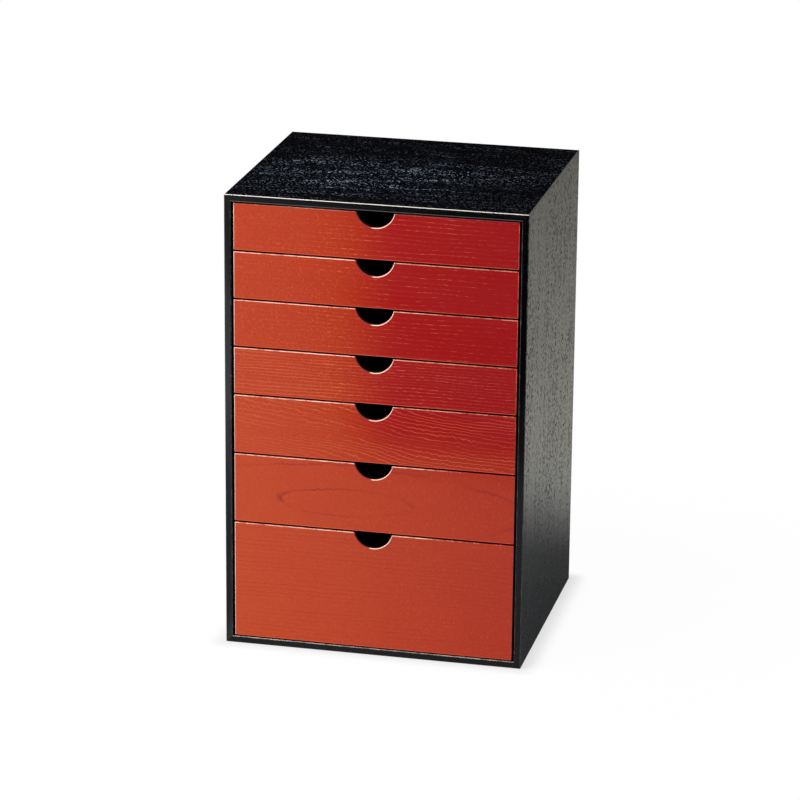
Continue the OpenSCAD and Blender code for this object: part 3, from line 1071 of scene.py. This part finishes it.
# Black cards, with their corners in turn
CARD_BLACK = (0.002, 0.002, 0.002, 1)
CARD_BEHIND = ((-3.4, 2.6, 0.3), (0.5, 2.6, 0.3), (0.5, 2.6, 3.4), (-3.4, 2.6, 3.4))
CARD_IN_FRONT = ((-0.21, -0.75, MM), (2.0, -0.45, MM), (1.6, -3.2, MM), (-0.78, -3.2, MM))

FLOOR_SIZE = 40
FLOOR_DROP = 0.05 * MM  # it lies a hair below the chest, so no faces coincide
FLOOR_NEAR, FLOOR_BEHIND = (0.77, 0.79, 0.81, 1), (0.99, 0.97, 0.85, 1)
FLOOR_BEHIND_Y = (0.0, 0.8)
FLOOR_ROUGHNESS = 0.9

# For the camera, the page's white takes over from the floor: most of it at the
# chest, nearly all from the edge of its shadow on, and a little more far away.
# The white itself is a little darker at the chest: a painted contact shadow.
NEAR_GAP, PAGE_NEAR = (0.0, 26 * MM), (0.84, 0.98)
FAR_GAP, PAGE_MORE = (40 * MM, 600 * MM), 0.02
PAINTED_SHADOW_GAP, PAINTED_SHADOW_LEVELS = (-4 * MM, 20 * MM), (0.84, 1.0)


def softbox(name, toward, distance, size, power, tint=(1, 1, 1)):
    """A square area light at a distance from the chest, in a direction from it."""
    data = bpy.data.lights.new(name, "AREA")
    data.shape = "RECTANGLE"
    data.size = data.size_y = size
    data.energy = power
    data.color = tint
    lamp = bpy.data.objects.new(name, data)
    bpy.context.scene.collection.objects.link(lamp)
    toward = Vector(toward).normalized()
    lamp.location = AIM + toward * distance
    lamp.rotation_euler = toward.to_track_quat("Z", "Y").to_euler()


def card(name, corners):
    """A black studio card that only reflections see."""
    bpy.ops.object.select_all(action="DESELECT")
    bpy.ops.mesh.primitive_plane_add(size=1)
    piece = bpy.context.object
    piece.name = name
    first, second, third, fourth = corners
    for point, corner in zip(piece.data.vertices, (first, second, fourth, third)):
        point.co = corner
    piece.visible_camera = False
    piece.visible_diffuse = False
    piece.visible_shadow = False
    piece.visible_transmission = False
    finish = Finish(name)
    finish.set("Base Color", CARD_BLACK)
    finish.set("Roughness", 1.0)
    finish.set("Specular IOR Level", 0.0)
    piece.data.materials.append(finish.material)


def make_camera():
    azimuth, elevation, roll = (math.radians(angle) for angle in CAMERA_ANGLES)
    data = bpy.data.cameras.new("camera")
    data.sensor_width = FILM_WIDTH
    data.lens = LENS
    data.clip_end = FARTHEST
    camera = bpy.data.objects.new("camera", data)
    bpy.context.scene.collection.objects.link(camera)
    turn = (
        Matrix.Rotation(azimuth, 4, "Z")
        @ Matrix.Rotation(math.pi / 2 - elevation, 4, "X")
        @ Matrix.Rotation(roll, 4, "Z")
    )
    camera.matrix_world = Matrix.Translation(CAMERA_PLACE) @ turn
    bpy.context.scene.camera = camera


def make_page():
    """A white world for camera and mirror rays, and a softer one for the rest."""
    world = bpy.data.worlds.new("page")
    bpy.context.scene.world = world
    world.use_nodes = True
    n = Nodes(world.node_tree)
    ray = n.add("ShaderNodeLightPath").outputs
    seen = n.math("MAXIMUM", ray["Is Camera Ray"], ray["Is Glossy Ray"])
    seen = n.math("MAXIMUM", seen, ray["Is Transmission Ray"])
    page = world.node_tree.nodes["Background"].inputs
    page["Color"].default_value = WHITE
    n.feed(page["Strength"], n.between(seen, PAGE_GLOW, 1.0))


def distance_from_chest(finish):
    """How far a place on the floor is from the chest's outline."""
    gaps = []
    for value, half in ((finish.axis["X"], WIDTH / 2), (finish.axis["Y"], DEPTH / 2)):
        beyond = finish.math("SUBTRACT", finish.math("ABSOLUTE", value), half)
        gaps.append(finish.math("MAXIMUM", 0.0, beyond))
    across, back = gaps
    squares = finish.math("MULTIPLY_ADD", across, across, finish.times(back, back))
    return finish.math("SQRT", squares)


def make_floor():
    """A pale floor that fades to the white page for the camera, with a painted contact shadow at
    the chest.
    """
    bpy.ops.object.select_all(action="DESELECT")
    bpy.ops.mesh.primitive_plane_add(size=FLOOR_SIZE, location=(0, 0, -FLOOR_DROP))
    floor = bpy.context.object
    floor.name = "floor"
    finish = Finish("pale floor")
    behind = finish.ramp(finish.axis["Y"], *FLOOR_BEHIND_Y)
    finish.feed(finish.shader["Base Color"], finish.blend(behind, FLOOR_NEAR, FLOOR_BEHIND))
    finish.set("Roughness", FLOOR_ROUGHNESS)
    finish.set("Specular IOR Level", 0.0)

    gap = distance_from_chest(finish)
    page_share = finish.between(finish.ramp(gap, *NEAR_GAP), *PAGE_NEAR)
    page_share = finish.math("MULTIPLY_ADD", finish.ramp(gap, *FAR_GAP), PAGE_MORE, page_share)
    page_with_painted_shadow = finish.between(finish.ramp(gap, *PAINTED_SHADOW_GAP), *PAINTED_SHADOW_LEVELS)
    page = finish.add("ShaderNodeEmission", Strength=page_with_painted_shadow).outputs[0]
    camera_ray = finish.add("ShaderNodeLightPath").outputs["Is Camera Ray"]
    mixer = finish.add("ShaderNodeMixShader", Fac=finish.times(camera_ray, page_share))
    tree = finish.tree
    tree.links.new(tree.nodes["Principled BSDF"].outputs[0], mixer.inputs[1])
    tree.links.new(page, mixer.inputs[2])
    tree.links.new(mixer.outputs[0], tree.nodes["Material Output"].inputs["Surface"])
    floor.data.materials.append(finish.material)


def make_studio():
    make_camera()
    make_page()
    make_floor()
    card("card behind", CARD_BEHIND)
    card("card in front", CARD_IN_FRONT)
    softbox("key softbox", toward=(-0.33, -0.3, 0.89), distance=2.2, size=0.9, power=47)
    softbox("front softbox", toward=(-0.3, -0.9, 0.35), distance=2.6, size=1.2, power=14)
    softbox(
        "left softbox",
        toward=(-0.9, -0.35, 0.33),
        distance=2.4,
        size=1.0,
        power=14,
        tint=(1.0, 0.97, 0.93),
    )


model_carcass()
for number in DRAWERS:
    model_front(number)
dress_carcass()
dress_drawers()
make_studio()
bpy.context.scene.view_settings.view_transform = "Standard"
